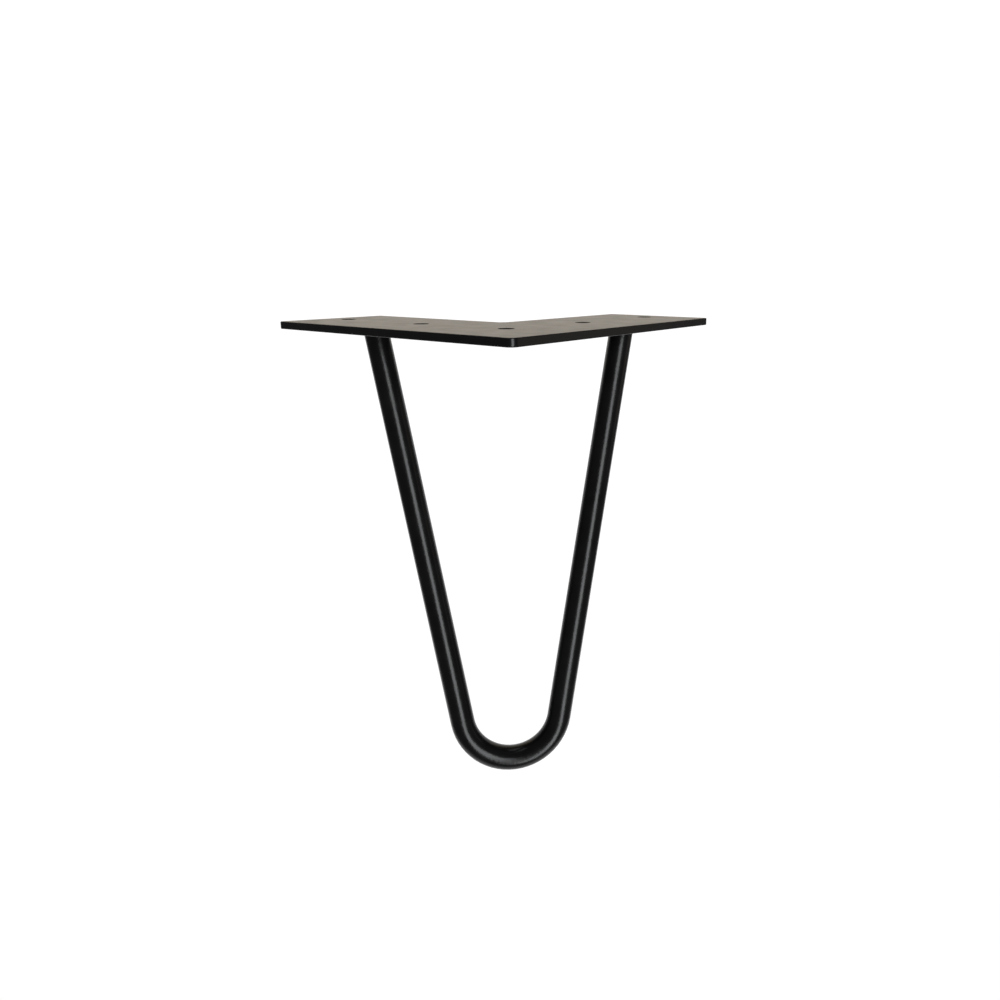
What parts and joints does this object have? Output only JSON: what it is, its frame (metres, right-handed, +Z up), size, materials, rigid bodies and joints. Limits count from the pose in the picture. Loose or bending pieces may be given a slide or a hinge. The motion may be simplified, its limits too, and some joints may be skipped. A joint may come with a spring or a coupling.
{
  "type": "hairpin table leg",
  "caption": "Short hairpin furniture leg: a round steel rod bent into a narrow U and welded under a flat L-shaped screw plate, powder coated black.",
  "frame": {"origin": "centre of the corner screw hole, on the plate's top face that meets the table", "axes": "+Z up towards the table, +Y from the plate's outer corner in between its arms, +X towards the right arm as seen from the outer corner"},
  "size_m": [0.176, 0.122, 0.19],
  "materials": {
    "powder_coat": "satin black powder coat with a fine grain, over steel"
  },
  "bodies": {
    "root": {"mounting_plate": "powder_coat", "hairpin_rod": "powder_coat", "left_weld_bead": "powder_coat", "right_weld_bead": "powder_coat"}
  },
  "joints": []
}
